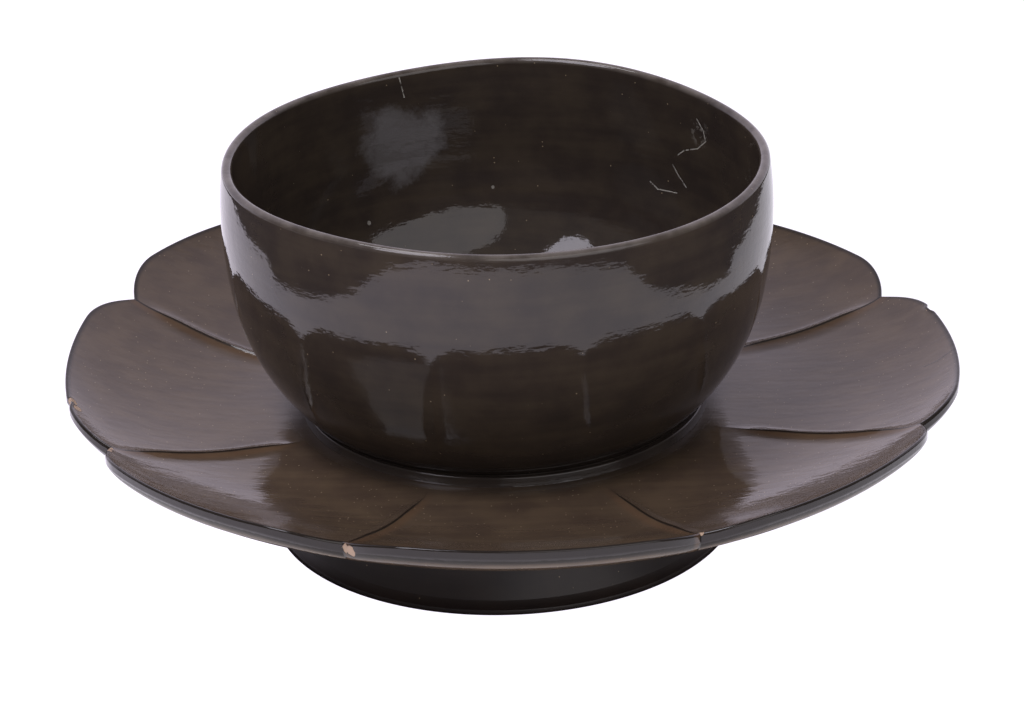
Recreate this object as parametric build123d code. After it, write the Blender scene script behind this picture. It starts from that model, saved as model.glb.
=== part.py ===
from build123d import *
import os
from math import atan2, copysign, cos, hypot, pi, radians, sin, sqrt

# A tea-bowl stand of lacquered wood. A deep round cup stands on a wide flange cut to eight
# petals, and the flange is carried by a low hollow foot. Millimetres, +Z up. The origin is
# the centre of the flange's outline, at the level of the sole. The cup and the foot share
# one axis, which the maker set a little to the left of the flange's centre.

# Joints
glue_gap = 0.1               # radial room for the lacquer paste in every turned joint
axis_shift = 2.0             # from the flange's centre to the axis of cup and foot, along -X

# Cup floor, a disc pushed up into the cup from below
floor_radius = 29.5          # where the floor shows inside the cup
floor_edge_width = 8.5       # its edge rises to meet the curve of the wall
floor_edge_height = 1.6
floor_thickness = 2.4        # under the level middle
floor_lap = 1.5              # width of its lower rim, which stops in the rebate
floor_lap_height = 1.2

# Cup wall
cup_radius = 50.6            # outside, at the fullest place
cup_height = 48.4            # from the flange's well to the lip
lip_thickness = 2.0
lip_draw_in = 0.6            # the lip is this much narrower than the fullest place
fullest_below_lip = 9.7
shoulder_below_fullest = 14.0
shoulder_draw_in = 1.25      # the wall's lean at the shoulder, where the belly begins
bore_length = 16.0           # straight wall inside the mouth, under the rounded lip
seat_width = 2.1             # the ring on which the cup stands
spigot_wall = 3.5
spigot_reach = 3.8           # how far the spigot passes below the flange

# Bead in the corner between cup and flange
bead_width = 1.5
bead_height = 1.7
bead_round = 0.6

# Flange
petal_count = 8
petal_turn = 0.5             # degrees from the middle of a petal lying on +X
petal_tip_radius = 83.1
notch_depth = 4.2
petal_shoulder_radius = 20.0
board_thickness = 4.0        # at the well
petal_thickness = 3.0        # where the upturned edge begins
rim_thickness = 2.6
rim_round = 0.9
well_margin = 11.6           # level ring of the well, outside the bead
upturn_width = 7.6           # the outer part of each petal, which turns up more
upturn_rise = 4.5
dish_rise = 4.8              # from the well to the start of the upturned edge

# Ribs between the petals
rib_reach = 5.0              # how far a rib's inner tip runs into the well
rib_outer_gap = 1.2          # from the notch to the rib's outer tip
rib_width = 4.6              # at its root
rib_height = 0.9
rib_root = 1.0               # depth of the root under the flange's face
rib_stations = (0.02, 0.15, 0.35, 0.6, 0.85, 0.98)

# Foot wall
foot_height = 18.8           # from the sole to the underside of the flange
foot_wall_thickness = 3.4
foot_flare = 4.3             # how far the wall spreads on its way down
foot_low_thickness = 3.7

# Foot hoop, the ring that shoes the foot
hoop_height = 2.4
hoop_overhang = 1.5          # beyond the foot wall's lower edge
hoop_round = 0.6
tenon_width = 1.5
tenon_height = 1.2

# Sizes that follow from the ones above
rebate_radius = floor_radius + floor_lap + glue_gap
spigot_radius = rebate_radius + spigot_wall
cup_base_radius = spigot_radius + seat_width
bead_bore_radius = cup_base_radius + glue_gap
bead_radius = bead_bore_radius + bead_width
well_radius = bead_radius + well_margin
well_height = foot_height + board_thickness
stand_height = well_height + cup_height
cup_bore_radius = cup_radius - lip_draw_in - lip_thickness
notch_radius = petal_tip_radius - notch_depth
floor_underside = well_height - floor_thickness
floor_lap_top = floor_underside + floor_lap_height
floor_edge_top = well_height + floor_edge_height
spigot_end = foot_height - spigot_reach
foot_bore_radius = spigot_radius + glue_gap
foot_top_radius = foot_bore_radius + foot_wall_thickness
foot_low_radius = foot_top_radius + foot_flare
foot_low_bore_radius = foot_low_radius - foot_low_thickness
hoop_radius = foot_low_radius + hoop_overhang
tenon_middle_radius = (foot_low_radius + foot_low_bore_radius) / 2
tenon_low = hoop_height - tenon_height
tenon_inner_radius = tenon_middle_radius - tenon_width / 2
tenon_outer_radius = tenon_middle_radius + tenon_width / 2


class TangentBow:
    """An arc in the (radius, height) plane that leaves start at a slope and ends at end."""

    def __init__(self, start, slope, end):
        chord = atan2(end[1] - start[1], end[0] - start[0])
        self.start = start
        self.end = end
        self.end_slope = 2 * chord - slope
        self.radius = hypot(end[0] - start[0], end[1] - start[1]) / (2 * sin(chord - slope))
        self.centre = (start[0] - self.radius * sin(slope), start[1] + self.radius * cos(slope))
        self.middle = (
            self.centre[0] + self.radius * sin(chord),
            self.centre[1] - self.radius * cos(chord),
        )

    def edge(self):
        return ThreePointArc(self.start, self.middle, self.end)

    def height(self, radius):
        """Height of the bow at a distance from the axis, whichever way it curves."""
        rise = sqrt(self.radius**2 - (radius - self.centre[0]) ** 2)
        return self.centre[1] - copysign(rise, self.radius)


def turned(edges, shift=axis_shift):
    """Turn a closed outline, drawn in the (radius, height) plane, about the piece's axis."""
    section = make_face((Curve() + edges).edges())
    return Pos(-shift, 0, 0) * revolve(Plane.XZ * section, Axis.Z)


def cup_wall():
    lip_low = stand_height - lip_thickness / 2
    lip_radius = cup_radius - lip_draw_in
    fullest = (cup_radius, stand_height - fullest_below_lip)
    shoulder = (cup_radius - shoulder_draw_in, fullest[1] - shoulder_below_fullest)
    land_top = (cup_base_radius, well_height + bead_height + glue_gap)
    upper = TangentBow(fullest, -pi / 2, shoulder)
    belly = TangentBow(shoulder, upper.end_slope, land_top)
    lip_side = TangentBow(fullest, pi / 2, (lip_radius, lip_low))

    bore_low = (cup_bore_radius, lip_low - bore_length)
    floor_line = (floor_radius, floor_edge_top)
    inside = TangentBow(bore_low, -pi / 2, floor_line)
    outline = [
        lip_side.edge(),
        ThreePointArc(
            (lip_radius, lip_low),
            (lip_radius - lip_thickness / 2, stand_height),
            (cup_bore_radius, lip_low),
        ),
        Line((cup_bore_radius, lip_low), bore_low),
        inside.edge(),
        Polyline(
            floor_line,
            (floor_radius + glue_gap, floor_edge_top),
            (floor_radius + glue_gap, floor_lap_top),
            (rebate_radius, floor_lap_top),
            (rebate_radius, spigot_end),
            (spigot_radius, spigot_end),
            (spigot_radius, well_height),
            (cup_base_radius, well_height),
            land_top,
        ),
        belly.edge(),
        upper.edge(),
    ]
    return turned(outline)


def cup_floor():
    flat_radius = floor_radius - floor_edge_width
    rise = TangentBow((flat_radius, well_height), 0, (floor_radius, floor_edge_top))
    outline = [
        Polyline(
            (0, floor_underside),
            (floor_radius + floor_lap, floor_underside),
            (floor_radius + floor_lap, floor_lap_top),
            (floor_radius, floor_lap_top),
            (floor_radius, floor_edge_top),
        ),
        rise.edge(),
        Polyline((flat_radius, well_height), (0, well_height), (0, floor_underside)),
    ]
    return turned(outline)


def base_bead():
    top = well_height + bead_height
    round_start = bead_width - bead_round
    outline = [
        Polyline(
            (bead_bore_radius, top),
            (bead_bore_radius, well_height),
            (bead_radius, well_height),
            (bead_radius, top - bead_round),
        ),
        RadiusArc((bead_radius, top - bead_round), (bead_bore_radius + round_start, top), -bead_round),
        Line((bead_bore_radius + round_start, top), (bead_bore_radius, top)),
    ]
    return turned(outline)


def petal_outline():
    """One closed line of petals: each is a wide arc with a rounded shoulder each side."""
    half_petal = pi / petal_count
    shoulder_centre = petal_tip_radius - petal_shoulder_radius
    reach = (shoulder_centre**2 + notch_radius**2 - petal_shoulder_radius**2) / (
        2 * shoulder_centre * notch_radius
    )
    shoulder_turn = atan2(sqrt(1 - reach**2), reach)
    joint_angle = half_petal - shoulder_turn

    def at(radius, angle):
        return (radius * cos(angle), radius * sin(angle))

    edges = []
    for petal in range(petal_count):
        middle = radians(petal_turn) + petal * 2 * half_petal
        for side in (-1, 1):
            centre = at(shoulder_centre, middle + side * joint_angle)
            notch = at(notch_radius, middle + side * half_petal)
            joint = at(petal_tip_radius, middle + side * joint_angle)
            to_notch = atan2(notch[1] - centre[1], notch[0] - centre[0])
            to_joint = middle + side * joint_angle
            swing = (to_notch - to_joint + pi) % (2 * pi) - pi
            halfway = to_joint + swing / 2
            bend = (
                centre[0] + petal_shoulder_radius * cos(halfway),
                centre[1] + petal_shoulder_radius * sin(halfway),
            )
            edges.append(ThreePointArc(notch, bend, joint))
        edges.append(
            ThreePointArc(
                at(petal_tip_radius, middle - joint_angle),
                at(petal_tip_radius, middle),
                at(petal_tip_radius, middle + joint_angle),
            )
        )
    return edges


def upper_bows():
    """The flange's upper face past the well: a slow bow, then the upturned edge."""
    start = (petal_tip_radius - upturn_width, well_height + dish_rise)
    tip = (petal_tip_radius, start[1] + upturn_rise)
    dish = TangentBow((well_radius, well_height), 0, start)
    return dish, TangentBow(start, dish.end_slope, tip)


def lower_bows():
    """The underside, which follows the upper face at the board's thickness."""
    dish, upturn = upper_bows()
    start = below(dish.end, dish.end_slope, petal_thickness)
    tip = below(upturn.end, upturn.end_slope, rim_thickness)
    low_dish = TangentBow((well_radius, foot_height), 0, start)
    return low_dish, TangentBow(start, low_dish.end_slope, tip)


def below(point, slope, depth):
    """The point at a depth square to a face that passes through point at a slope."""
    return (point[0] + depth * sin(slope), point[1] - depth * cos(slope))


def beyond(bow, length):
    """The point at a length straight on from the end of a bow."""
    return (bow.end[0] + length * cos(bow.end_slope), bow.end[1] + length * sin(bow.end_slope))


def top_height(radius):
    """Height of the flange's upper face at a distance from the flange's centre."""
    dish, upturn = upper_bows()
    if radius <= well_radius:
        return well_height
    return dish.height(radius) if radius <= dish.end[0] else upturn.height(radius)


def rib(angle):
    """One rib: a slender lens that swells from the well and dies away before the notch."""
    inner_tip = well_radius - rib_reach
    outer_tip = notch_radius - rib_outer_gap
    sections = []
    for station in rib_stations:
        radius = inner_tip + station * (outer_tip - inner_tip)
        swell = sqrt(1 - (2 * station - 1) ** 2)
        half_width = rib_width / 2 * swell
        low = top_height(radius) - rib_root
        crest = low + (rib_root + rib_height) * swell
        plane = Plane(origin=(radius, 0, 0), x_dir=(0, 1, 0), z_dir=(1, 0, 0))
        arch = ThreePointArc((-half_width, low), (0, crest), (half_width, low))
        sections.append(plane * make_face(arch + Line((half_width, low), (-half_width, low))))
    return Rot(0, 0, angle) * loft(sections)


def rim_edges(flange):
    """The edges above and below the lobed side of the flange."""
    sides = [face for face in flange.faces() if is_upright(face)]
    return [
        edge for edge in ShapeList(sides).edges()
        if abs(edge.tangent_at(0.5).Z) < cos(pi / 4)
    ]


def is_upright(face):
    return abs(face.normal_at(face.center()).Z) < sin(radians(1))


def petal_flange():
    dish, upturn = upper_bows()
    low_dish, low_upturn = lower_bows()
    # The blank is turned wider than the petals, and the outline is then cut through it.
    outline = [
        Line((0, well_height), (well_radius, well_height)),
        dish.edge(),
        upturn.edge(),
        Polyline(
            upturn.end,
            beyond(upturn, notch_depth),
            beyond(low_upturn, notch_depth),
            low_upturn.end,
        ),
        low_upturn.edge(),
        low_dish.edge(),
        Polyline((well_radius, foot_height), (0, foot_height), (0, well_height)),
    ]
    through = 2 * stand_height
    flange = turned(outline, 0) & extrude(make_face(petal_outline()), through)
    flange = fillet(rim_edges(flange), min(rim_round, rim_thickness / 3))
    for petal in range(petal_count):
        flange += rib(petal_turn + (petal + 0.5) * 360 / petal_count)
    return flange - Pos(-axis_shift, 0, 0) * Cylinder(spigot_radius + glue_gap, through)


def foot_wall():
    outside = TangentBow(
        (foot_top_radius, foot_height), -pi / 2, (foot_low_radius, hoop_height)
    )
    inside = TangentBow(
        (foot_bore_radius, spigot_end), -pi / 2, (foot_low_bore_radius, hoop_height)
    )
    outline = [
        outside.edge(),
        Polyline(
            (foot_low_radius, hoop_height),
            (tenon_outer_radius, hoop_height),
            (tenon_outer_radius, tenon_low),
            (tenon_inner_radius, tenon_low),
            (tenon_inner_radius, hoop_height),
            (foot_low_bore_radius, hoop_height),
        ),
        inside.edge(),
        Polyline(
            (foot_bore_radius, spigot_end),
            (foot_bore_radius, foot_height),
            (foot_top_radius, foot_height),
        ),
    ]
    return turned(outline)


def foot_hoop():
    groove_inner = tenon_inner_radius - glue_gap
    groove_outer = tenon_outer_radius + glue_gap
    outline = Polyline(
        (foot_low_bore_radius, 0),
        (hoop_radius, 0),
        (hoop_radius, hoop_height),
        (groove_outer, hoop_height),
        (groove_outer, tenon_low),
        (groove_inner, tenon_low),
        (groove_inner, hoop_height),
        (foot_low_bore_radius, hoop_height),
        close=True,
    )
    ring = turned([outline])
    outer_edges = ring.edges().filter_by(
        lambda edge: edge.geom_type == GeomType.CIRCLE and edge.radius > hoop_radius - glue_gap
    )
    return fillet(outer_edges, min(hoop_round, hoop_height / 3))


os.makedirs("parts", exist_ok=True)
pieces = {
    "cup_wall": cup_wall(),
    "cup_floor": cup_floor(),
    "base_bead": base_bead(),
    "petal_flange": petal_flange(),
    "foot_wall": foot_wall(),
    "foot_hoop": foot_hoop(),
}
for name, shape in pieces.items():
    export_step(shape, f"parts/{name}.step")
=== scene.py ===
from math import atan2, copysign, cos, degrees, dist, exp, hypot, pi, radians, sin, sqrt, tan

import bmesh
import bpy
from mathutils import Matrix, Vector


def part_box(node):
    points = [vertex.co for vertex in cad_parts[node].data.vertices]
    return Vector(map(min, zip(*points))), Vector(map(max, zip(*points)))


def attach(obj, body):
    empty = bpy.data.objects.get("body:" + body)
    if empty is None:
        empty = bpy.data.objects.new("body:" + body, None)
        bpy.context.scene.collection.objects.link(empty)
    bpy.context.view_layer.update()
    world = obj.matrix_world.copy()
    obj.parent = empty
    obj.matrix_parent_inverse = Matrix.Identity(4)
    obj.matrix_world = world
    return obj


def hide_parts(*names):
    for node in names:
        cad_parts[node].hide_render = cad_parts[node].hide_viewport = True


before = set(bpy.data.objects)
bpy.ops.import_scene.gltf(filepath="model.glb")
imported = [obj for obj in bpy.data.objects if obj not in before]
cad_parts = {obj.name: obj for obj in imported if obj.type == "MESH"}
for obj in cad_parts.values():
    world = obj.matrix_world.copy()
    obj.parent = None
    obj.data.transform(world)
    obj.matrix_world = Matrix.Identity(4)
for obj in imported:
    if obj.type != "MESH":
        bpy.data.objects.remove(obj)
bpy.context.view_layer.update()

# Foot wall: the low hollow ring that carries the stand, turned from one piece of wood, flared
# towards the ground and lacquered black-brown. Its bore is glued round the cup's spigot, and a
# tongue under it sits in the hoop.
mm = 0.001
cup_low, cup_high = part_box("cup_wall")
axis = (cup_low + cup_high) / 2
hoop_low, hoop_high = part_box("foot_hoop")
wall_low, wall_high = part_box("foot_wall")
spigot_radius = 34.6 * mm
foot_bore_radius = spigot_radius + 0.1 * mm
foot_top_radius = foot_bore_radius + 3.4 * mm
foot_low_radius = wall_high.x - axis.x
foot_low_bore_radius = foot_low_radius - 3.7 * mm
tongue_middle = (foot_low_radius + foot_low_bore_radius) / 2
tongue_reach = 0.75 * mm


def bow(start, slope, end, steps=14):
    """Points on an arc that leaves start at a slope, each a distance from the axis and a height."""
    chord = atan2(end[1] - start[1], end[0] - start[0])
    radius = dist(start, end) / (2 * sin(chord - slope))
    angles = [slope + 2 * (chord - slope) * step / steps for step in range(1, steps + 1)]
    return [
        (start[0] + radius * (sin(angle) - sin(slope)), start[1] - radius * (cos(angle) - cos(slope)))
        for angle in angles
    ]


def end_slope(start, slope, end):
    """The slope at which such an arc arrives."""
    return 2 * atan2(end[1] - start[1], end[0] - start[0]) - slope


def turned(name, outline, centre=axis, steps=256, sectors=1, first_angle=0.0):
    """Turn an outline of (distance from the axis, height) points into a closed, smooth piece.

    One sector is spun. The others are copies of it, and their number is a power of two."""
    bpy.ops.object.select_all(action="DESELECT")
    bpy.ops.mesh.primitive_plane_add(size=mm)
    piece = bpy.context.object
    piece.name = piece.data.name = name
    bpy.ops.object.mode_set(mode="EDIT")
    bpy.ops.mesh.merge(type="CENTER")
    outwards = Vector((cos(first_angle), sin(first_angle), 0))
    bpy.ops.transform.translate(value=outwards * outline[0][0] + Vector((0, 0, outline[0][1])))
    for before, after in zip(outline, outline[1:]):
        step = outwards * (after[0] - before[0]) + Vector((0, 0, after[1] - before[1]))
        bpy.ops.mesh.extrude_region_move(TRANSFORM_OT_translate={"value": step})
    bpy.ops.mesh.select_all(action="SELECT")
    sweep = 2 * pi / sectors
    bpy.ops.mesh.spin(steps=steps, angle=sweep, center=(0, 0, 0), axis=(0, 0, 1))
    while sweep < 2 * pi - radians(1):
        bpy.ops.mesh.select_all(action="SELECT")
        bpy.ops.mesh.duplicate()
        bpy.ops.transform.rotate(value=sweep, orient_axis="Z", center_override=(0, 0, 0))
        sweep *= 2
    bpy.ops.mesh.select_all(action="SELECT")
    bpy.ops.mesh.remove_doubles(threshold=0.002 * mm)
    bpy.ops.transform.translate(value=(centre.x, centre.y, 0))
    bpy.ops.mesh.normals_make_consistent(inside=False)
    bpy.ops.object.mode_set(mode="OBJECT")
    bpy.ops.object.shade_smooth_by_angle(angle=radians(38))
    return piece


class Signal:
    """A value in a finish that changes over the surface. It adds and multiplies as numbers do."""

    def __init__(self, tree, socket):
        self.tree = tree
        self.socket = socket

    def node(self, kind, settings=(), inputs=(), output=0):
        """Any node: its settings come first, then the values or signals of its sockets."""
        made = self.tree.nodes.new("ShaderNode" + kind)
        for setting, value in dict(settings).items():
            if setting == "stops":
                for stop in value[2:]:
                    made.color_ramp.elements.new(stop[0])
                for element, stop in zip(made.color_ramp.elements, value):
                    element.position, element.color = stop[0], (*stop[1], 1)
            else:
                setattr(made, setting, value)
        for name, value in dict(inputs).items():
            if isinstance(value, Signal):
                self.tree.links.new(value.socket, made.inputs[name])
            else:
                made.inputs[name].default_value = value
        return Signal(self.tree, made.outputs[output])

    def maths(self, operation, *values, clamp=False):
        settings = {"operation": operation, "use_clamp": clamp}
        return self.node("Math", settings, dict(enumerate(values)))

    def __add__(self, other):
        return self.maths("ADD", self, other)

    __radd__ = __add__

    def __sub__(self, other):
        return self.maths("SUBTRACT", self, other)

    def __rsub__(self, other):
        return self.maths("SUBTRACT", other, self)

    def __mul__(self, other):
        return self.maths("MULTIPLY", self, other)

    __rmul__ = __mul__

    def __truediv__(self, other):
        return self.maths("DIVIDE", self, other)

    def part(self, axis_name):
        """One of the three numbers of a position."""
        return self.node("SeparateXYZ", {}, {0: self}, axis_name)

    def from_axis(self):
        """Distance of a position from the upright axis of cup and foot."""
        flat = self.node("VectorMath", {"operation": "MULTIPLY"}, {0: self, 1: (1, 1, 0)})
        centre = (axis.x, axis.y, 0)
        return flat.node("VectorMath", {"operation": "DISTANCE"}, {0: flat, 1: centre}, "Value")

    def between(self, low, high):
        """0 below low, 1 above high and smooth between them. Low may be the larger one."""
        settings = {"interpolation_type": "SMOOTHSTEP", "clamp": True}
        inputs = {"Value": self, "From Min": low, "From Max": high}
        if low > high:
            inputs.update({"From Min": high, "From Max": low})
            return 1 - self.node("MapRange", settings, inputs)
        return self.node("MapRange", settings, inputs)

    def stretched(self, scale):
        """A position scaled by three numbers, to stretch the grain of what reads it."""
        return self.node("VectorMath", {"operation": "MULTIPLY"}, {0: self, 1: scale})

    def noise(self, scale, detail=3.0, roughness=0.5):
        inputs = {"Vector": self, "Scale": scale, "Detail": detail, "Roughness": roughness}
        return self.node("TexNoise", {}, inputs)

    def mixed(self, first, second):
        """A colour, first where this signal is 0 and second where it is 1."""
        colours = {
            6 + place: colour if isinstance(colour, Signal) else (*colour, 1)
            for place, colour in enumerate((first, second))
        }
        return self.node("Mix", {"data_type": "RGBA"}, {0: self, **colours}, output=2)


dust_colour = (0.40, 0.31, 0.20)
worn_gloss = 0.6


def dust(place, spacing, size, share):
    """1 on fine dust that settled in the lacquer: round specks, in only a share of the cells."""
    cells = {"Vector": place, "Scale": 1 / spacing}
    near = place.node("TexVoronoi", {}, cells, output="Distance")
    lot = place.node("TexVoronoi", {}, cells, output="Color").part("X")
    return near.between(size, size * 0.5) * lot.between(share, share - 0.02)


def spot(place, point, reach):
    """1 inside a ragged patch round a point."""
    gap = place.node("VectorMath", {"operation": "DISTANCE"}, {0: place, 1: point}, "Value")
    return (gap / reach + place.noise(1500, 3)).between(1.6, 1.4)


def stroke(place, width, points):
    """1 along a thin line through some points."""
    line = 0
    for start, end in zip(points, points[1:]):
        run = Vector(end) - Vector(start)
        offset = place.node("VectorMath", {"operation": "SUBTRACT"}, {0: place, 1: start})
        dot = {0: offset, 1: run / run.length_squared}
        share = place.node("VectorMath", {"operation": "DOT_PRODUCT"}, dot, "Value")
        share = share.maths("ADD", share, 0, clamp=True)
        near = place.node("VectorMath", {"operation": "SCALE"}, {0: run, "Scale": share})
        gap = place.node("VectorMath", {"operation": "DISTANCE"}, {0: offset, 1: near}, "Value")
        line = place.maths("MAXIMUM", gap.between(width, width * 0.4), line)
    return line


def lacquer(name, deep, thin, grain, ripple, ripple_height, fine_height, gloss, dusty, wear_and_painted_shade=None):
    """Brushed lacquer over wood, with the brush marks and the grain along the stretched axes."""
    material = bpy.data.materials.new(name)
    material.use_nodes = True
    tree = material.node_tree
    shader = tree.nodes["Principled BSDF"]
    start = Signal(tree, None)
    place = start.node("TexCoord", output="Object")
    streaks = place.stretched(grain).noise(1, 4)
    clouds = place.noise(140, 4)
    tone = (streaks * 0.5 + clouds * 0.7).between(0.42, 0.80)
    colour = tone.mixed(deep, thin)
    colour = (dust(place, 1.2 * mm, 0.13, dusty) * 0.8).mixed(colour, dust_colour)
    waves = place.stretched(ripple).noise(1, 3, 0.6)
    slow = place.noise(38, 1)
    fine = place.noise(520, 3, 0.6)
    height = waves * ripple_height + slow * (ripple_height * 3) + fine * fine_height
    # The function passed in paints wear into the colour, and on flange and cup also painted shade and,
    # inside the cup, a painted reflection; its second value marks where roughness and bump change.
    if wear_and_painted_shade:
        colour, worn = wear_and_painted_shade(place, colour)
        roughness = worn * (worn_gloss - gloss) + gloss
        tree.links.new(roughness.socket, shader.inputs["Roughness"])
        height = height - worn * (0.15 * mm)
    else:
        shader.inputs["Roughness"].default_value = gloss
    bump = start.node("Bump", {}, {"Strength": 1.0, "Distance": 1.0, "Height": height})
    tree.links.new(colour.socket, shader.inputs["Base Color"])
    tree.links.new(bump.socket, shader.inputs["Normal"])
    shader.inputs["IOR"].default_value = 1.5
    return material


def dress(piece, material, slot, *nodes):
    """Give a finished piece its lacquer and let it stand for its solid."""
    piece.data.materials.clear()
    piece.data.materials.append(material)
    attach(piece, "root")
    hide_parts(*nodes)


foot_lacquer = lacquer(
    "foot_black_lacquer",
    deep=(0.022, 0.016, 0.015),
    thin=(0.034, 0.024, 0.020),
    grain=(40, 40, 500),
    ripple=(90, 90, 420),
    ripple_height=0.010 * mm,
    fine_height=0.002 * mm,
    gloss=0.42,
    dusty=0.1,
)

hoop_radius = hoop_high.x - axis.x
foot_outline = [(foot_top_radius, wall_high.z)]
foot_outline += bow(foot_outline[0], -pi / 2, (foot_low_radius, hoop_high.z))
foot_outline += [
    (tongue_middle + tongue_reach, hoop_high.z),
    (tongue_middle + tongue_reach, wall_low.z),
    (tongue_middle - tongue_reach, wall_low.z),
    (tongue_middle - tongue_reach, hoop_high.z),
    (foot_low_bore_radius, hoop_high.z),
]
foot_bore_low = (foot_bore_radius, cup_low.z)
foot_outline += bow(foot_bore_low, -pi / 2, foot_outline[-1])[-2::-1]
foot_outline += [foot_bore_low, (foot_bore_radius, wall_high.z), foot_outline[0]]
foot_wall = turned("foot_wall_lacquered", foot_outline)
dress(foot_wall, foot_lacquer, "foot_lacquer", "foot_wall")

# Foot hoop: a thin wooden ring that shoes the foot, grooved above for the foot wall's tongue and
# lacquered in one with it. A fine step near the sole is all that shows of it.
hoop_round = 0.5 * mm
hoop_line = 1.15 * mm
hoop_step = 0.25 * mm
groove_reach = tongue_reach + 0.1 * mm
hoop_outline = [(foot_low_bore_radius, 0), (hoop_radius - hoop_round, 0)]
hoop_outline += bow(hoop_outline[-1], 0, (hoop_radius, hoop_round), 5)
hoop_outline += [(hoop_radius - 0.15 * mm, hoop_line - hoop_step)]
hoop_outline += bow(hoop_outline[-1], pi / 2, (hoop_radius - 0.15 * mm - hoop_step, hoop_line), 4)
hoop_outline += [
    (foot_low_radius, hoop_high.z),
    (tongue_middle + groove_reach, hoop_high.z),
    (tongue_middle + groove_reach, wall_low.z),
    (tongue_middle - groove_reach, wall_low.z),
    (tongue_middle - groove_reach, hoop_high.z),
    (foot_low_bore_radius, hoop_high.z),
    hoop_outline[0],
]
foot_hoop = turned("foot_hoop_lacquered", hoop_outline)
dress(foot_hoop, foot_lacquer, "foot_lacquer", "foot_hoop")

# Petal flange: one wide board, turned to a shallow dish, then cut to eight petals with turned-up
# edges and carved with a fine ridge between each two. It lies on the foot, glued under the cup,
# and its brown lacquer is worn through to the wood in a few places along the rim.
flange_low, flange_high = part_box("petal_flange")
flange_centre = Vector((0, 0, 0))
petal_count = 8
petal_turn = radians(0.5)
half_petal = pi / petal_count
petal_tip_radius = 83.1 * mm
notch_radius = petal_tip_radius - 4.2 * mm
petal_shoulder_radius = 20.0 * mm
well_radius = 49.9 * mm
well_height = flange_low.z + 4.0 * mm
upturn_start = (petal_tip_radius - 7.6 * mm, well_height + 4.8 * mm)
petal_tip = (petal_tip_radius, upturn_start[1] + 4.5 * mm)
board_rise = 0.71
board_waves = [(-1.6, -0.66), (-0.14, -1.15), (0.29, 0.77), (-0.49, -0.24)]
ridge_height = 0.95 * mm
ridge_reach = 3.4 * mm
rim_nicks = [(radians(-168.4), 2.4 * mm, 0.6 * mm), (radians(13.2), 2.0 * mm, 0.7 * mm)]


def petal_edge(angle):
    """Distance of the flange's outline from its centre, in the direction of an angle."""
    from_middle = abs((angle - petal_turn + half_petal) % (2 * half_petal) - half_petal)
    shoulder_centre = petal_tip_radius - petal_shoulder_radius
    reach = (shoulder_centre**2 + notch_radius**2 - petal_shoulder_radius**2) / (
        2 * shoulder_centre * notch_radius
    )
    joint = half_petal - atan2(sqrt(1 - reach**2), reach)
    if from_middle <= joint:
        return petal_tip_radius
    beyond = from_middle - joint
    across = shoulder_centre * sin(beyond)
    return shoulder_centre * cos(beyond) + sqrt(petal_shoulder_radius**2 - across**2)


def bow_height(start, slope, end, radius):
    """Height of the arc that leaves start at a slope, at a distance from the axis."""
    chord = atan2(end[1] - start[1], end[0] - start[0])
    bend = dist(start, end) / (2 * sin(chord - slope))
    middle = (start[0] - bend * sin(slope), start[1] + bend * cos(slope))
    rise = sqrt(max(bend**2 - (radius - middle[0]) ** 2, 0))
    return middle[1] - copysign(rise, bend)


def dish(radius, well, start, tip):
    """Height of one face of the dish: level in the well, a slow bow, then the upturned edge."""
    if radius <= well[0]:
        return well[1]
    if radius <= start[0]:
        return bow_height(well, 0, start, radius)
    return bow_height(start, end_slope(well, 0, start), tip, radius)


def square_below(point, slope, depth):
    return (point[0] + depth * sin(slope), point[1] - depth * cos(slope))


well_edge = (well_radius, well_height)
start_slope = end_slope(well_edge, 0, upturn_start)
tip_slope = end_slope(upturn_start, start_slope, petal_tip)
low_well_edge = (well_radius, flange_low.z)
low_upturn_start = square_below(upturn_start, start_slope, 3.0 * mm)
low_petal_tip = square_below(petal_tip, tip_slope, 2.25 * mm)


def smooth(value, low, high):
    """0 below low, 1 above high, and a smooth rise between them."""
    share = min(max((value - low) / (high - low), 0), 1)
    return share * share * (3 - 2 * share)


def board_warp(radius, angle):
    """How far the old board has moved, past the glued well: it rises, leans and bends."""
    moved = board_rise
    for wave, (level, aslant) in enumerate(board_waves, 1):
        moved += level * cos(wave * angle) + aslant * sin(wave * angle)
    return moved * mm * smooth(radius, 43 * mm, petal_tip_radius)


def ridge(radius, angle):
    """Height of the carved ridges: a sharp crest with hollow flanks, tapering at both ends."""
    from_notch = (angle - petal_turn) % (2 * half_petal) - half_petal
    aside = abs(radius * sin(from_notch))
    flank = max(1 - aside / ridge_reach, 0) ** 2.2
    inner = smooth(radius, 42 * mm, 54 * mm)
    outer = 1 - smooth(radius, 68 * mm, notch_radius - 0.5 * mm)
    return ridge_height * flank * inner * (0.12 + 0.88 * outer)


def beside_ridge(radius, angle):
    """Distance from the nearest ridge, more than 0 on the side that the light leaves dark."""
    from_notch = (angle - petal_turn) % (2 * half_petal) - half_petal
    return -copysign(radius, cos(angle - from_notch)) * sin(from_notch)


def nicked(edge, angle):
    """How much of the rim has broken away at an angle."""
    lost = 0
    for nick_angle, reach, depth in rim_nicks:
        aside = abs(angle - nick_angle) * petal_tip_radius
        jagged = 0.6 + 0.4 * sin(aside / (0.35 * mm))
        lost += depth * jagged * (1 - smooth(aside, reach * 0.6, reach))
    return lost * (1 - smooth(edge, 0, 1.6 * mm))


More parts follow.
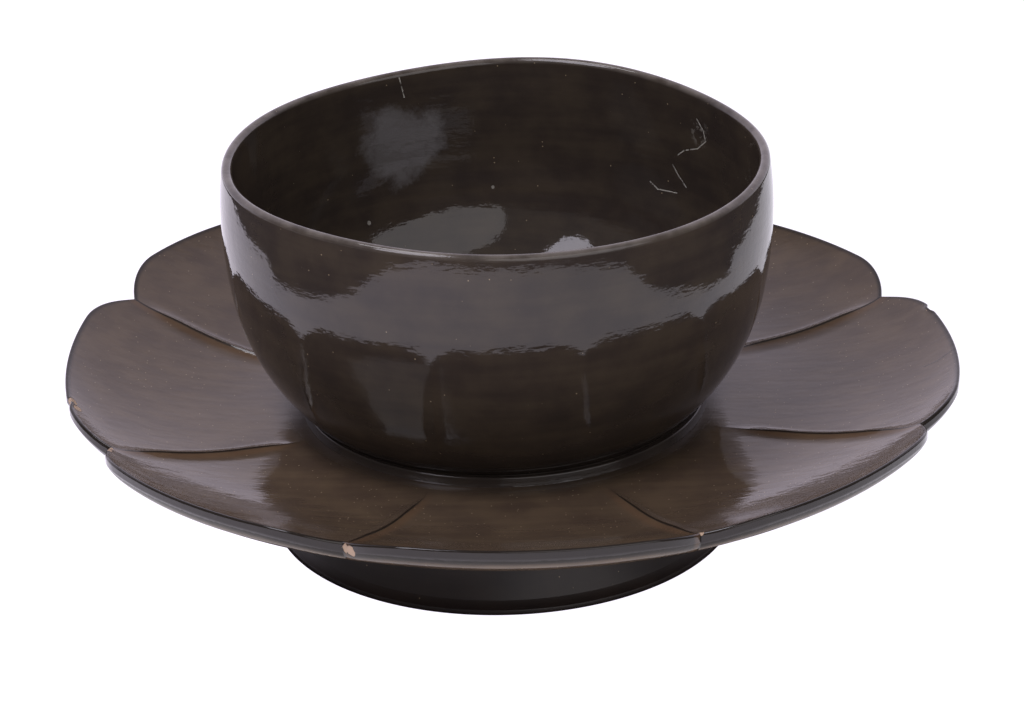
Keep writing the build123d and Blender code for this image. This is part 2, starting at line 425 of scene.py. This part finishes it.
board = 3.4 * mm
blank_edge = petal_tip_radius
hole_radius = foot_bore_radius
nose_width, nose_height = 0.7 * mm, 0.9 * mm
heel_width, heel_height = 2.0 * mm, 1.4 * mm
ring_places = [hole_radius, 38 * mm, 41 * mm, 44 * mm]
ring_places += [(46 + 0.8 * step) * mm for step in range(45)]
blank = [(radius, board) for radius in ring_places]
blank += [(blank_edge - gap * mm, board) for gap in (1.6, 1.3)]
for step in range(8):
    turn = pi / 2 * step / 8
    blank.append(
        (blank_edge - nose_width * (1 - sin(turn)), board - nose_height * (1 - cos(turn)))
    )
side_height = board - nose_height - heel_height
blank += [(blank_edge, heel_height + side_height * share) for share in (1, 0.93, 0.5, 0.07, 0)]
blank += bow(blank[-1], radians(-118), (blank_edge - heel_width, 0), 8)
blank += [(radius, 0) for radius in ring_places[-4:3:-3]]
blank += [(radius, 0) for radius in ring_places[3::-1]]
blank += [(hole_radius, board)]
flange = turned(
    "petal_flange_lacquered",
    blank,
    flange_centre,
    steps=128,
    sectors=petal_count,
    first_angle=petal_turn - half_petal,
)

crowding = 0.105
to_edge = flange.data.attributes.new("to_edge", "FLOAT", "POINT")
off_crest = flange.data.attributes.new("off_crest", "FLOAT", "POINT")
crest = flange.data.attributes.new("crest", "FLOAT", "POINT")
hole_shift = axis.x
for vertex in flange.data.vertices:
    x, y, z = vertex.co
    radius = hypot(x, y)
    angle = atan2(y, x)
    share = z / board
    angle += crowding * sin(petal_count * (angle - petal_turn))
    lobed_from = 50 * mm
    if radius > lobed_from:
        lobe = (petal_edge(angle) - lobed_from) / (blank_edge - lobed_from)
        radius = lobed_from + (radius - lobed_from) * lobe
    top = dish(radius, well_edge, upturn_start, petal_tip)
    bottom = dish(radius, low_well_edge, low_upturn_start, low_petal_tip)
    raised = ridge(radius, angle) * smooth(share, 0.7, 1)
    shift = hole_shift * (1 - smooth(radius, hole_radius, 44 * mm))
    edge = petal_edge(angle) - radius
    off_ridge = beside_ridge(radius, angle)
    to_edge.data[vertex.index].value = edge
    off_crest.data[vertex.index].value = off_ridge
    if abs(off_ridge) < 5 * mm:
        crest.data[vertex.index].value = smooth(radius, 41 * mm, 50 * mm)
    radius -= nicked(edge, angle)
    vertex.co = (
        radius * cos(angle) + shift,
        radius * sin(angle),
        bottom + share * (top - bottom) + raised + board_warp(radius, angle),
    )
flange.data.update()

bare_wood = (0.50, 0.36, 0.25)
# Near-black colour of the painted shade on the flange's rim edge and in the ring round the foot of the cup.
painted_shade_colour = (0.013, 0.010, 0.008)
rim_chips = [
    ((-29.5, -74.4, 30.2), 1.1),
    ((-28.2, -75.0, 30.2), 1.1),
    ((-72.8, -31.6, 29.6), 0.9),
    ((-72.6, -32.9, 30.2), 0.8),
    ((-80.6, -16.0, 31.9), 1.0),
    ((-79.6, -18.0, 31.4), 0.9),
    ((30.8, -72.3, 30.3), 0.5),
    ((73.6, -31.4, 29.6), 0.6),
    ((80.3, 18.6, 29.8), 0.5),
]
board_crack = [(77.1, -1.3, 27.2), (79.6, -1.3, 28.4), (82.6, -0.8, 30.4)]


def flange_marks_and_shade(place, colour):
    """Painted shade on the rim's edge and round the foot of the cup, a paler rubbed-brown band and a line of
    painted shade on one flank of each ridge, a dark crack, and chips down to the wood.
    """
    edge = place.node("Attribute", {"attribute_name": "to_edge"}, output="Fac")
    beside = place.node("Attribute", {"attribute_name": "off_crest"}, output="Fac")
    ridged = place.node("Attribute", {"attribute_name": "crest"}, output="Fac")
    # Painted shade on the flange round the foot of the cup, under the overhanging belly; the same ring also
    # makes the lacquer there rougher and a little lower.
    shade_round_cup = place.from_axis().between(44 * mm, 38 * mm)
    # Painted shade: the lacquer within about 1.3 mm of the outline, over the rim's nose and underside, goes
    # near-black, and so, more faintly, does the ring round the cup.
    dark = place.maths("MAXIMUM", edge.between(1.3 * mm, 0.4 * mm) * 0.95, shade_round_cup * 0.55)
    colour = dark.mixed(colour, painted_shade_colour)
    # On the flank of each ridge that the light leaves dark: a paler brown band of rubbed lacquer, painted on
    # this one flank only, where the light shows it, and next to the crest a thin near-black line of painted
    # shade.
    band = beside.between(0.2 * mm, 0.7 * mm) * beside.between(2.3 * mm, 1.0 * mm) * ridged
    colour = (band * 0.4).mixed(colour, (0.17, 0.095, 0.050))
    line = beside.between(-0.05 * mm, 0.12 * mm) * beside.between(0.5 * mm, 0.25 * mm) * ridged
    colour = (line * 0.85).mixed(colour, (0.012, 0.010, 0.009))
    crack = stroke(place, 0.2 * mm, [[value * mm for value in point] for point in board_crack])
    colour = (crack * 0.8).mixed(colour, (0.010, 0.008, 0.007))
    bare = 0
    for point, reach in rim_chips:
        bare = place.maths("MAXIMUM", spot(place, [value * mm for value in point], reach * mm), bare)
    return bare.mixed(colour, bare_wood), bare.maths("MAXIMUM", bare, shade_round_cup * 0.5)


flange_lacquer = lacquer(
    "flange_brown_lacquer",
    deep=(0.088, 0.061, 0.042),
    thin=(0.125, 0.088, 0.056),
    grain=(30, 420, 420),
    ripple=(150, 480, 480),
    ripple_height=0.055 * mm,
    fine_height=0.012 * mm,
    gloss=0.08,
    dusty=0.5,
    wear_and_painted_shade=flange_marks_and_shade,
)
dress(flange, flange_lacquer, "flange_lacquer", "petal_flange")

# Cup wall: a deep round cup, turned thin, with a rounded lip. It stands on the flange on a narrow
# seat, and a spigot below goes through the flange into the foot. Brown-black lacquer inside and
# out, and the lip has moved a little out of level with age.
cup_radius = (cup_high.x - cup_low.x) / 2
lip_thickness = 2.0 * mm
lip_radius = cup_radius - 0.6 * mm
lip_low = cup_high.z - lip_thickness / 2
fullest = (cup_radius, cup_high.z - 9.7 * mm)
shoulder = (cup_radius - 1.25 * mm, fullest[1] - 14.0 * mm)
bore_radius = lip_radius - lip_thickness
bore_low = (bore_radius, lip_low - 16.0 * mm)
floor_radius = 29.5 * mm
floor_edge = (floor_radius, well_height + 1.6 * mm)
seat_radius = spigot_radius + 2.1 * mm
bead_height = 1.7 * mm
land_top = (seat_radius, well_height + bead_height + 0.1 * mm)
floor_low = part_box("cup_floor")[0]
lap_top = floor_low.z + 1.2 * mm
rebate_radius = floor_radius + 1.6 * mm

cup_outline = [(seat_radius, well_height), land_top]
upper_slope = end_slope(fullest, -pi / 2, shoulder)
belly = bow(shoulder, upper_slope, land_top, 40)
cup_outline += belly[-2::-1] + [shoulder]
cup_outline += bow(fullest, -pi / 2, shoulder, 14)[-2::-1] + [fullest]
cup_outline += bow(fullest, pi / 2, (lip_radius, lip_low), 12)
for step in range(1, 11):
    turn = pi * step / 10
    cup_outline.append(
        (
            lip_radius - lip_thickness / 2 * (1 - cos(turn)),
            lip_low + lip_thickness / 2 * sin(turn),
        )
    )
cup_outline += [(bore_radius, lip_low + (bore_low[1] - lip_low) * step / 12) for step in range(1, 13)]
cup_outline += bow(bore_low, -pi / 2, floor_edge, 44)
cup_outline += [
    (floor_radius, lap_top),
    (rebate_radius, lap_top),
    (rebate_radius, cup_low.z),
    (spigot_radius, cup_low.z),
    (spigot_radius, well_height),
    cup_outline[0],
]
cup_wall = turned("cup_wall_lacquered", cup_outline)
lip_rise = 0.95
lip_waves = [(-0.32, -0.04), (-0.41, 0.34), (-0.02, -0.20), (0.02, -0.24), (0.13, 0.05)]
lip_waves += [(0.03, -0.02)]
on_lip = cup_wall.data.attributes.new("on_lip", "FLOAT", "POINT")
for vertex in cup_wall.data.vertices:
    on_lip.data[vertex.index].value = smooth(vertex.co.z, lip_low, cup_high.z)
    angle = atan2(vertex.co.y - axis.y, vertex.co.x - axis.x)
    moved = lip_rise
    for wave, (level, aslant) in enumerate(lip_waves, 1):
        moved += level * cos(wave * angle) + aslant * sin(wave * angle)
    vertex.co.z += moved * mm * smooth(vertex.co.z, 40 * mm, cup_high.z)
cup_wall.data.update()

cup_scratches = [
    [(27.9, 37.3, 50.7), (29.3, 36.0, 49.6), (31.0, 34.4, 49.8), (32.8, 32.7, 50.0)],
    [(32.1, 33.8, 55.5), (33.1, 32.7, 53.6), (34.5, 31.0, 51.8)],
    [(32.5, 33.4, 57.2), (34.2, 31.5, 59.2), (36.6, 28.6, 60.6), (38.0, 26.5, 62.8)],
    [(38.0, 26.5, 62.8), (37.6, 27.2, 64.8), (36.4, 28.7, 66.6)],
    [(-20.3, 44.4, 71.0), (-19.5, 44.7, 66.9)],
]
cup_crumbs = [((-27.2, 38.6, 43.2), 0.42), ((-2.8, 47.1, 46.6), 0.34)]


def cup_wear_and_painted_light(place, colour):
    """Scratches, a rubbed place and two crumbs, all inside the cup; painted shade low on the cup's outside
    and on the bead; a lip paler and greyer in patches; and a painted reflection, a grey patch on the inside
    wall at the back left.
    """
    marks = 0
    for points in cup_scratches:
        points = [[value * mm for value in point] for point in points]
        marks = place.maths("MAXIMUM", stroke(place, 0.18 * mm, points), marks)
    marks = marks * place.noise(900, 2).between(0.36, 0.52)
    rubbed = place.node(
        "VectorMath",
        {"operation": "DISTANCE"},
        {0: place, 1: [value * mm for value in (36.9, 28.1, 64.0)]},
        "Value",
    )
    rubbed = rubbed.between(3.6 * mm, 0.6 * mm) * place.noise(700, 4, 0.7).between(0.5, 0.62)
    marks = place.maths("MAXIMUM", marks, rubbed * 0.45)
    for point, reach in cup_crumbs:
        crumb = spot(place, [value * mm for value in point], reach * mm) * 0.5
        marks = place.maths("MAXIMUM", crumb, marks)
    # Painted shade on the outside of the cup just above the flange, under the overhanging belly, and on the
    # base bead.
    painted_base_shade = place.from_axis().between(35.4 * mm, 36.4 * mm) * place.part("Z").between(30 * mm, 25 * mm)
    colour = (painted_base_shade * 0.6).mixed(colour, (0.020, 0.016, 0.015))
    lip = place.node("Attribute", {"attribute_name": "on_lip"}, output="Fac")
    lip = lip * place.noise(260, 4).between(0.15, 0.70)
    colour = (lip * 0.7).mixed(colour, (0.21, 0.185, 0.16))
    # Painted reflection: a ragged pale grey patch on the inside wall at the back left, standing for a lamp
    # seen in the lacquer.
    painted_reflection = place.node(
        "VectorMath",
        {"operation": "DISTANCE"},
        {0: place, 1: [value * mm for value in (-20.5, 44.4, 57.5)]},
        "Value",
    )
    painted_reflection = (painted_reflection / (10 * mm) + place.noise(210, 5, 0.65) * 1.1).between(1.5, 1.1)
    colour = (painted_reflection * 0.85).mixed(colour, (0.135, 0.127, 0.124))
    return marks.mixed(colour, (0.46, 0.44, 0.38)), marks


cup_lacquer = lacquer(
    "cup_black_brown_lacquer",
    deep=(0.038, 0.029, 0.024),
    thin=(0.060, 0.046, 0.033),
    grain=(40, 40, 400),
    ripple=(110, 110, 420),
    ripple_height=0.048 * mm,
    fine_height=0.027 * mm,
    gloss=0.06,
    dusty=0.07,
    wear_and_painted_shade=cup_wear_and_painted_light,
)
dress(cup_wall, cup_lacquer, "cup_lacquer", "cup_wall")

# Cup floor: a disc pushed up into the cup from below and glued on its lap, level in the middle,
# with an edge that rises to the curve of the wall. Lacquered in one with the inside of the cup.
flat_radius = floor_radius - 8.5 * mm
floor_outline = [
    (0, floor_low.z),
    (floor_radius + 1.5 * mm, floor_low.z),
    (floor_radius + 1.5 * mm, lap_top),
    (floor_radius, lap_top),
    floor_edge,
]
floor_outline += bow((flat_radius, well_height), 0, floor_edge, 14)[-2::-1]
floor_outline += [(flat_radius, well_height), (flat_radius / 2, well_height), (0, well_height)]
cup_floor = turned("cup_floor_lacquered", floor_outline)
dress(cup_floor, cup_lacquer, "cup_lacquer", "cup_floor")

# Base bead: a thin ring laid in the corner between cup and flange, with a hollow side that runs
# out on the flange. The lacquer of the cup covers it, and it is a little wider on the right.
bead_low, bead_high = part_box("base_bead")
bead_bore_radius = seat_radius + 0.1 * mm
bead_round = 0.3 * mm
bead_top_radius = bead_bore_radius + 0.8 * mm
bead_toe_radius = bead_bore_radius + 1.1 * mm
bead_outline = [(bead_bore_radius, bead_high.z), (bead_bore_radius, bead_low.z)]
bead_outline += [(bead_toe_radius, bead_low.z)]
bead_outline += bow(bead_outline[-1], radians(112), (bead_top_radius, bead_high.z - bead_round), 8)
bead_outline += bow(bead_outline[-1], radians(95), (bead_top_radius - bead_round, bead_high.z), 6)
bead_outline += [bead_outline[0]]
base_bead = turned("base_bead_lacquered", bead_outline)
for vertex in base_bead.data.vertices:
    if dist(vertex.co.xy, axis.xy) > bead_bore_radius + 0.2 * mm:
        vertex.co.x += 0.4 * mm
base_bead.data.update()
dress(base_bead, cup_lacquer, "cup_lacquer", "base_bead")

# The studio: a pale floor that glows, brighter on the left, a bright wall of light behind the stand, a soft
# lamp high on the left, a paler one low on the right, and the camera. Dark cards beside and in front of the
# stand, a dark disc under it and a dimly glowing grey ring round that disc are painted shade, and show only
# in the lacquer.
bpy.ops.object.select_all(action="DESELECT")
bpy.ops.mesh.primitive_plane_add(size=6)
floor = bpy.context.object
floor.name = floor.data.name = "studio_floor"
paper = bpy.data.materials.new("pale_paper")
paper.use_nodes = True
paper_shader = paper.node_tree.nodes["Principled BSDF"]
# The floor glows instead of being lit, more brightly on the left than on the right: painted light.
from_left = Signal(paper.node_tree, None).node("TexCoord", output="Object").part("X")
paper_glow = from_left.between(0.25, -0.25).mixed((1.0, 0.97, 1.06), (1.22, 1.13, 1.31))
paper.node_tree.links.new(paper_glow.socket, paper_shader.inputs["Emission Color"])
paper_shader.inputs["Base Color"].default_value = (0.12, 0.118, 0.122, 1)
paper_shader.inputs["Emission Strength"].default_value = 1.0
paper_shader.inputs["Roughness"].default_value = 0.9
paper_shader.inputs["Specular IOR Level"].default_value = 0.0
floor.data.materials.append(paper)

card_black = bpy.data.materials.new("dark_card")
card_black.use_nodes = True
card_shader = card_black.node_tree.nodes["Principled BSDF"]
card_shader.inputs["Base Color"].default_value = (0.10, 0.095, 0.10, 1)
card_shader.inputs["Roughness"].default_value = 0.9
card_shader.inputs["Specular IOR Level"].default_value = 0.0
# Dark cards on the floor beside and in front of the stand, hidden from the camera: painted shade, seen only
# in the lacquer.
card_edges = {
    "left": [(-0.21, 0.35), (-0.205, 0.03), (-0.168, 0.0), (-0.165, -0.11), (-0.235, -0.27), (-0.24, -0.46)],
    "right": [(0.19, 0.35), (0.19, 0.035), (0.158, 0.015), (0.160, -0.10), (0.205, -0.17), (0.24, -0.22), (0.235, -0.33), (0.19, -0.40), (0.14, -0.44)],
    "front": [(-0.24, -0.46), (0.14, -0.45)],
}
for side, edge in card_edges.items():
    if side == "front":
        corners = edge + [(1.5, -1.8), (-1.5, -1.8)]
    else:
        far = copysign(1.5, edge[0][0])
        corners = edge + [(far, -1.8), (far, 0.35)]
    card_mesh = bpy.data.meshes.new("card_" + side)
    card_mesh.from_pydata([(x, y, 0.5 * mm) for x, y in corners], [], [range(len(corners))])
    card = bpy.data.objects.new("card_" + side, card_mesh)
    bpy.context.scene.collection.objects.link(card)
    card.data.materials.append(card_black)
    card.visible_camera = False

# A dark disc under the stand, hidden from the camera: painted shadow under the flange, seen only in the
# lacquer.
bpy.ops.object.select_all(action="DESELECT")
bpy.ops.mesh.primitive_circle_add(radius=0.064, vertices=96, fill_type="NGON", location=(0, 0, 0.2 * mm))
shade_card = bpy.context.object
shade_card.name = shade_card.data.name = "shade_card"
shade_card.data.materials.append(card_black)
shade_card.visible_camera = False

# A grey ring round that disc that glows dimly, hidden from the camera: painted half-shade on the floor round
# the stand, seen only in the lacquer.
bpy.ops.object.select_all(action="DESELECT")
bpy.ops.mesh.primitive_circle_add(radius=0.088, vertices=96, fill_type="NGON", location=(0, 0, 0.1 * mm))
dim_card = bpy.context.object
dim_card.name = dim_card.data.name = "dim_card"
card_grey = card_black.copy()
card_grey.name = "grey_card"
card_grey.node_tree.nodes["Principled BSDF"].inputs["Emission Color"].default_value = (0.55, 0.53, 0.57, 1)
card_grey.node_tree.nodes["Principled BSDF"].inputs["Emission Strength"].default_value = 1.0
dim_card.data.materials.append(card_grey)
dim_card.visible_camera = False

world = bpy.data.worlds.new("studio")
world.use_nodes = True
bpy.context.scene.world = world
sky = Signal(world.node_tree, None)
direction = sky.node("TexCoord", output="Generated")
wall_light = direction.part("Y").between(0.18, 0.55) * (1 - 0.55 * direction.part("Z"))
glow = wall_light.mixed((0.17, 0.16, 0.165), (0.97, 0.88, 1.05))
world.node_tree.links.new(glow.socket, world.node_tree.nodes["Background"].inputs["Color"])


def soft_box(name, place, towards, size, power, colour=(1, 1, 1)):
    """A large soft lamp that faces a point."""
    lamp = bpy.data.lights.new(name, "AREA")
    lamp.shape = "ELLIPSE"
    lamp.size, lamp.size_y = size
    lamp.energy = power
    lamp.color = colour
    holder = bpy.data.objects.new(name, lamp)
    holder.location = place
    holder.rotation_euler = (Vector(towards) - Vector(place)).to_track_quat("-Z", "Y").to_euler()
    bpy.context.scene.collection.objects.link(holder)


soft_box("left_soft_box", (-0.49, -0.49, 1.0), (0, 0, 0.03), (0.46, 0.9), 5.0, (1, 0.96, 1.1))
soft_box("high_soft_box", (-0.34, 0.03, 1.11), (0, 0, 0.03), (0.40, 0.40), 2.2, (1, 0.97, 1.04))
soft_box("right_soft_box", (0.56, -0.94, 0.60), (0, 0, 0.03), (1.5, 1.05), 4.3, (1, 0.97, 1))

camera_data = bpy.data.cameras.new("camera")
camera_data.lens = 121.8
camera_data.sensor_width = 36
camera = bpy.data.objects.new("camera", camera_data)
bpy.context.scene.collection.objects.link(camera)
turn = Matrix.Rotation(radians(-0.098), 4, "Z")
tilt = Matrix.Rotation(radians(90 - 24.394), 4, "X")
roll = Matrix.Rotation(radians(-1.63), 4, "Z")
camera.matrix_world = Matrix.Translation((-0.00103, -0.5899, 0.29935)) @ turn @ tilt @ roll
bpy.context.scene.camera = camera
bpy.context.scene.view_settings.view_transform = "Standard"
